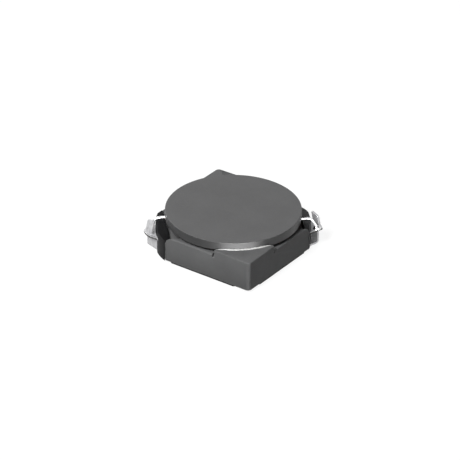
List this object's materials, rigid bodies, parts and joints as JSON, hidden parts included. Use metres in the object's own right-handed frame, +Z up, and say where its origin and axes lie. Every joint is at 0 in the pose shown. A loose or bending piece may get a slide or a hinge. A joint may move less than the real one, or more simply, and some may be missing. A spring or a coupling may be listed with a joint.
{
  "type": "shielded smd inductor",
  "caption": "Square low-profile power inductor: a wound ferrite drum in a square ferrite shield on a moulded base, with a solder terminal at each cut corner.",
  "frame": {"origin": "middle of the seating plane, under the centre of the drum", "axes": "+Z up from the board, +X along the longer span so that the terminal corners point along +X+Y and -X-Y, and +X-Y and -X+Y are the plain corners"},
  "size_m": [0.0106, 0.0104, 0.0031],
  "materials": {
    "ferrite_drum": "ground ferrite, matt grey with a fine grain",
    "ferrite_shield": "pressed and fired ferrite, matt dark grey",
    "enamelled_copper": "copper wire under clear enamel, glossy",
    "black_moulding": "black moulded resin, satin",
    "tinned_sheet": "tinned sheet metal, satin",
    "solder": "flowed solder, smooth",
    "clear_glue": "cured clear adhesive, glossy"
  },
  "bodies": {
    "root": {"drum_core": "ferrite_drum", "winding": "enamelled_copper", "shield_core": "ferrite_shield", "base": "black_moulding", "terminal_left": "tinned_sheet", "terminal_right": "tinned_sheet", "solder_left": "solder", "solder_right": "solder", "glue_front": "clear_glue", "glue_back": "clear_glue"}
  },
  "joints": []
}
